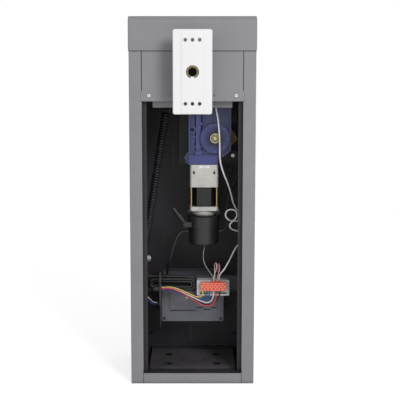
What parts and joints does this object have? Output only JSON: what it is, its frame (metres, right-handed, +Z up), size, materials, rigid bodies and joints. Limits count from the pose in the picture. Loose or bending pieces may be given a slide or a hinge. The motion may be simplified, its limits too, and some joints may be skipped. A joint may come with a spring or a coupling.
{
  "type": "boom barrier drive cabinet",
  "caption": "Boom barrier cabinet with its door off, showing the boom flange and shaft, spring balance, crank linkage, worm gearmotor with brake, and control box.",
  "frame": {"origin": "centre of the whole object's footprint at floor level", "axes": "+X to the right seen from the open front, +Y from the front to the back, +Z up"},
  "size_m": [0.353, 0.3766, 1.035],
  "materials": {
    "housing_paint": "satin grey powder coat",
    "base_steel": "dark grey coated steel",
    "plate_white": "white coated boom flange",
    "frame_zinc": "zinc plated sheet",
    "bearing_cast": "grey cast bearing housing",
    "steel": "machined steel",
    "lever_steel": "black coated lever steel",
    "yellow_zinc": "yellow zinc plating",
    "gearbox_blue": "blue enamel over cast metal",
    "seal_black": "black seal",
    "motor_silver": "bright cast aluminium",
    "motor_black": "black motor stack",
    "cover_black": "dark moulded cover",
    "spring_steel": "dark spring wire",
    "box_grey": "grey moulded box",
    "module_grey": "light grey moulding",
    "plug_orange": "orange plug",
    "cable_black": "black cable jacket",
    "cable_white": "white cable jacket",
    "wire_red": "coloured single wires",
    "wire_blue": "white and blue single wires",
    "wire_cream": "cream, pink and grey single wires"
  },
  "bodies": {
    "housing": {"balance_spring": "spring_steel", "base_plate": "base_steel", "base_rails": "housing_paint", "bearing_housings": "bearing_cast", "bearing_inserts": "steel", "box_bracket": "frame_zinc", "brake_cover": "cover_black", "buffer_screws": "steel", "cable_glands": "cable_black", "cable_hank": "cable_black", "cable_sleeves": "cable_black", "control_box": "box_grey", "control_box_lid": "box_grey", "cover_screws": "steel", "cross_bar": "frame_zinc", "frame_bolts": "steel", "front_frame_plate": "frame_zinc", "gearbox_cover": "gearbox_blue", "gearbox_housing": "gearbox_blue", "gearbox_plate": "frame_zinc", "gearbox_screws": "steel", "hank_strap": "cable_black", "jumper_wires": "wire_cream", "left_side_panel": "housing_paint", "limit_switch": "cover_black", "module_bracket": "frame_zinc", "motor_body": "motor_black", "motor_cables": "cable_black", "motor_end_bell": "motor_silver", "motor_gearhead": "motor_silver", "output_seal": "seal_black", "plate_spacers": "frame_zinc", "plug_connector": "plug_orange", "plug_wires": "wire_red", "rear_cover": "housing_paint", "rear_frame_plate": "frame_zinc", "right_side_panel": "housing_paint", "side_wires": "wire_blue", "sills": "housing_paint", "spring_anchor_bolt": "steel", "stop_buffers": "seal_black", "terminal_module": "module_grey", "tie_rods": "steel", "top_cap": "housing_paint", "upper_front_panel": "housing_paint", "white_cable": "cable_white"},
    "boom": {"main_shaft": "steel", "shaft_keys": "steel", "boom_plate": "plate_white", "boom_hub": "plate_white", "spring_lever": "lever_steel", "link_lever": "lever_steel", "spring_pin": "steel"},
    "crank": {"crank_arm": "lever_steel", "output_shaft": "yellow_zinc", "output_sleeve": "yellow_zinc", "limit_cam": "yellow_zinc"},
    "rod": {"connecting_rod": "steel"},
    "thimble": {"spring_thimble": "steel"},
    "release": {"brake_release_lever": "cover_black"}
  },
  "joints": [
    {"name": "boom_turn", "type": "hinge", "parent": "housing", "child": "boom", "pos_m": [0, 0, 0.881], "axis": [0, 1, 0], "range_deg": [0, 90]},
    {"name": "crank_turn", "type": "hinge", "parent": "housing", "child": "crank", "pos_m": [0.065, 0, 0.697], "axis": [0, 1, 0], "range_deg": [0, 90]},
    {"name": "rod_turn", "type": "hinge", "parent": "crank", "child": "rod", "pos_m": [0.08615, 0, 0.7445], "axis": [0, 1, 0], "range_deg": [-90, 0]},
    {"name": "spring_pull", "type": "slide", "parent": "housing", "child": "thimble", "axis": [0.1104, 0, 0.9939], "range_m": [0, 0.12679], "deforming": ["balance_spring"]},
    {"name": "brake_release", "type": "hinge", "parent": "housing", "child": "release", "pos_m": [-0.019, 0, 0.444], "axis": [0, 1, 0], "range_deg": [0, 12], "stiffness_Nm_per_rad": 1.5}
  ],
  "couplings": [
    {"joint": "crank_turn", "follows": "boom_turn", "ratio": 1},
    {"joint": "rod_turn", "follows": "boom_turn", "ratio": -1},
    {"joint": "spring_pull", "follows": "boom_turn", "m_per_rad": 0.0807}
  ]
}
